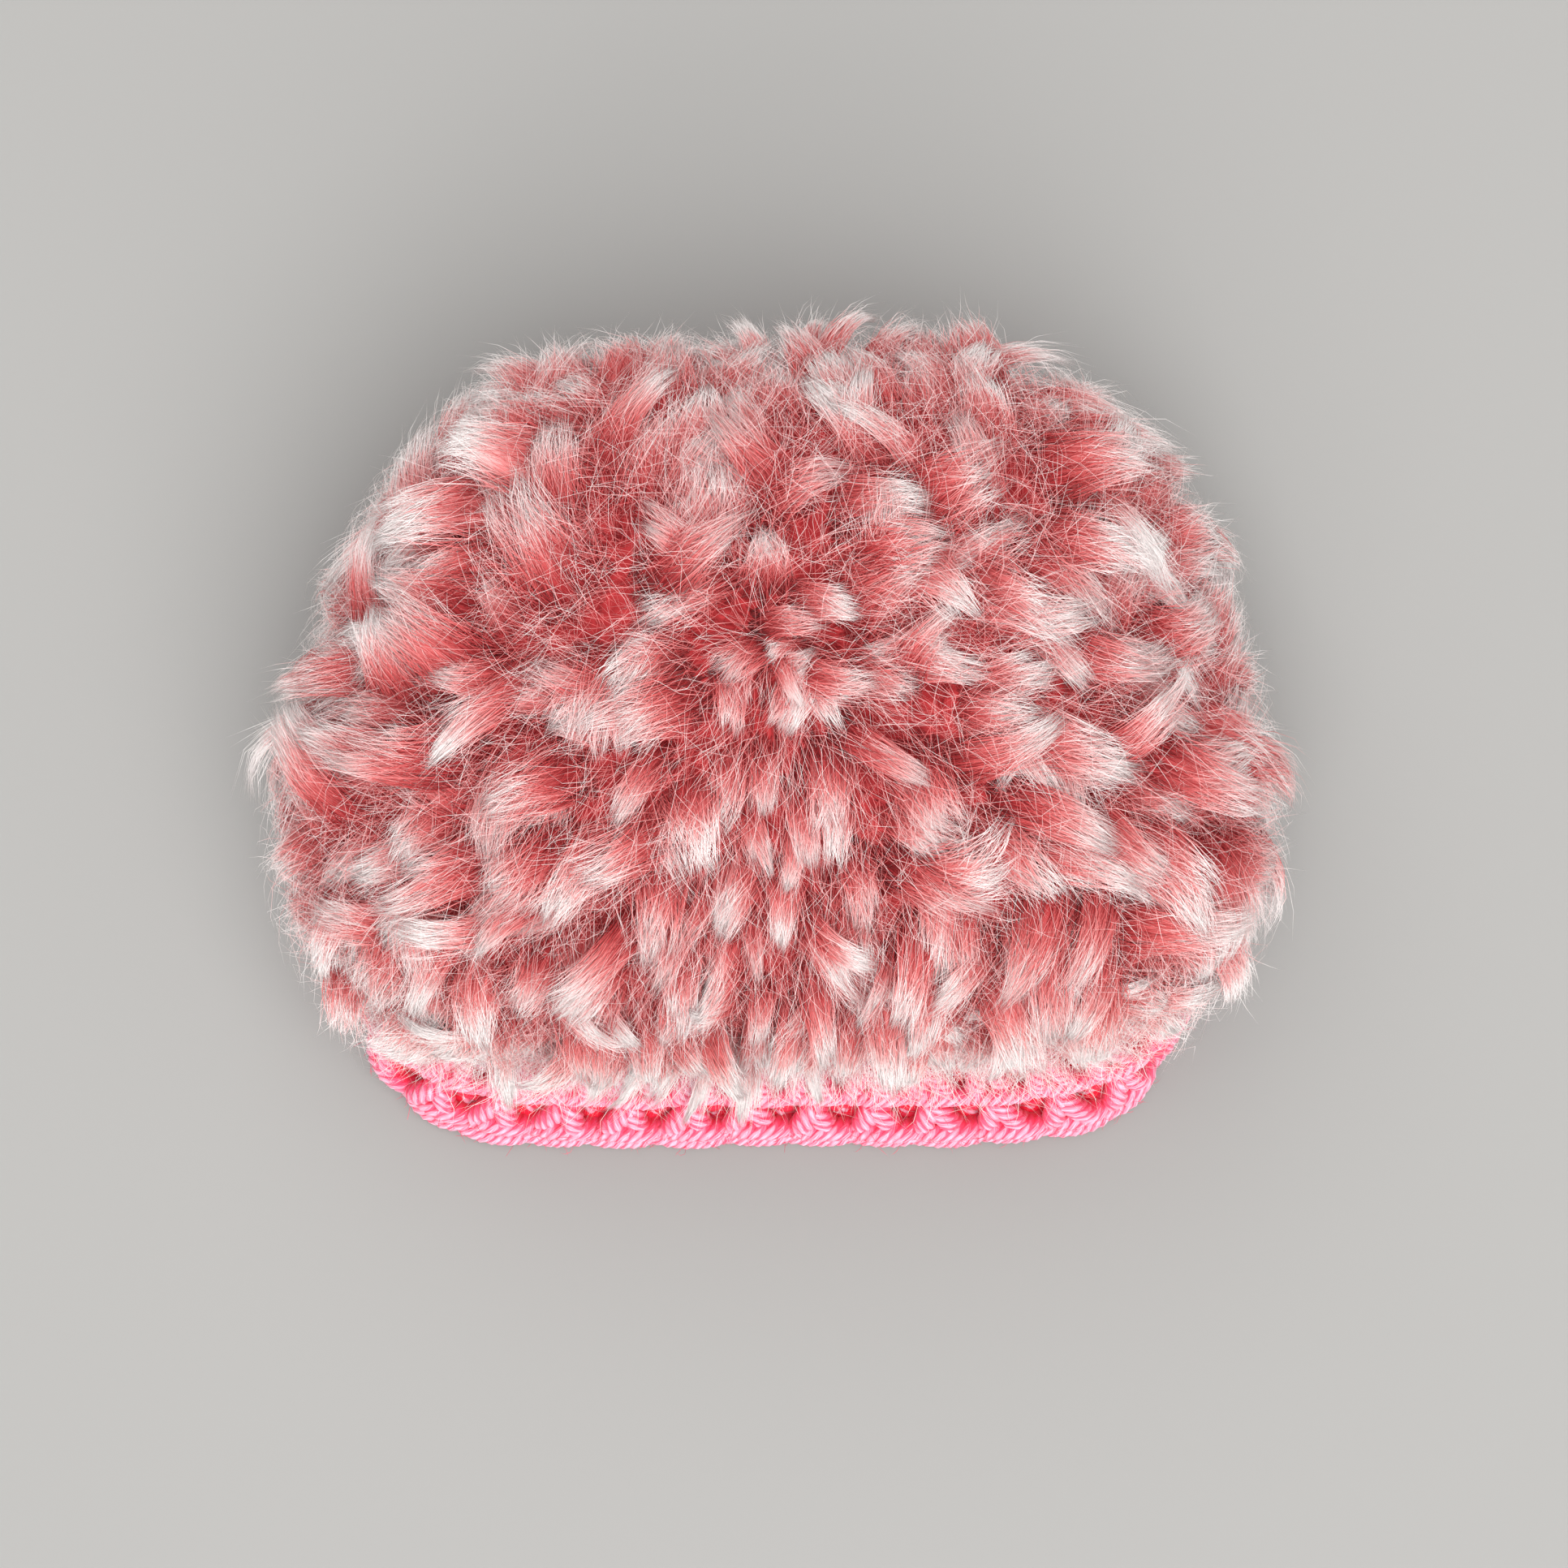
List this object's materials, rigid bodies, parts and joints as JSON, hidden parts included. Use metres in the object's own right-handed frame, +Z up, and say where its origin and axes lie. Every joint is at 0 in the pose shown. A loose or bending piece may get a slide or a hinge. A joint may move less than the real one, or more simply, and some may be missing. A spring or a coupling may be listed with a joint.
{
  "type": "crocheted faux fur baby beanie",
  "caption": "Small crocheted beanie that covers a newborn's head: a round faux-fur crown over a stretchy plain-yarn brim, standing slumped on its rim.",
  "frame": {"origin": "middle of the bounding box at the floor plane that the rim rests on", "axes": "+Z up through the crown, +X across the hat, -Y to the front where the brim faces up"},
  "size_m": [0.1244, 0.0996, 0.0629],
  "materials": {
    "fur_core": "matt coral core thread of the fur yarn",
    "fur_pile": "soft acrylic pile, coral at the root and frosted at the tip",
    "brim_yarn": "soft plied acrylic yarn in bubblegum pink"
  },
  "bodies": {
    "root": {"magic_ring": "fur_core", "fur_round_1": "fur_core", "fur_round_2": "fur_core", "fur_round_3": "fur_core", "fur_round_4": "fur_core", "fur_round_5": "fur_core", "crown_pile": "fur_pile", "pile_round_1": "fur_pile", "pile_round_2": "fur_pile", "pile_round_3": "fur_pile", "pile_round_4": "fur_pile", "pile_round_5": "fur_pile", "brim_round_1": "brim_yarn", "brim_round_2": "brim_yarn", "brim_edge_round": "brim_yarn", "fur_start_tail": "fur_core", "fur_end_tail": "fur_core", "brim_start_tail": "brim_yarn", "brim_end_tail": "brim_yarn"}
  },
  "joints": []
}
